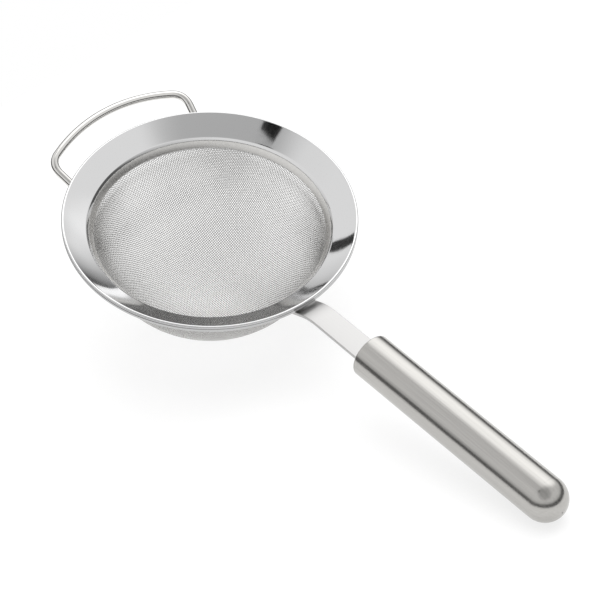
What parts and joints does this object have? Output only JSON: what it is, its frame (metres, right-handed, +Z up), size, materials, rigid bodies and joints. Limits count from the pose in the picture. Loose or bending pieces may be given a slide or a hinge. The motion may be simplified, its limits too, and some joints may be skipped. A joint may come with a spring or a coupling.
{
  "type": "tea strainer",
  "caption": "Stainless steel tea strainer: flared rim with rolled edge, woven wire basket, wire rest loop, and a round hollow handle on a flat bent strap.",
  "frame": {"origin": "middle of the footprint box, on the surface the strainer stands on", "axes": "+X from the basket along the handle to its tip, +Y to the left of that, +Z up"},
  "size_m": [0.207, 0.0928, 0.0556],
  "materials": {
    "polished_steel": "mirror-polished stainless steel",
    "woven_steel": "plain-woven stainless wire cloth, bright",
    "wire_steel": "polished round wire",
    "satin_steel": "satin flat strip with a fine grain",
    "brushed_steel": "fine lengthwise brushed grain, semi-bright",
    "weld_steel": "dull cleaned weld metal"
  },
  "bodies": {
    "root": {"rim_flange": "polished_steel", "inner_band": "polished_steel", "mesh_basket": "woven_steel", "rest_loop": "wire_steel", "handle_strap": "satin_steel", "handle_tube": "brushed_steel", "handle_end_dome": "brushed_steel", "handle_front_plug": "satin_steel", "loop_weld_left": "weld_steel", "loop_weld_right": "weld_steel", "strap_weld": "weld_steel"}
  },
  "joints": []
}
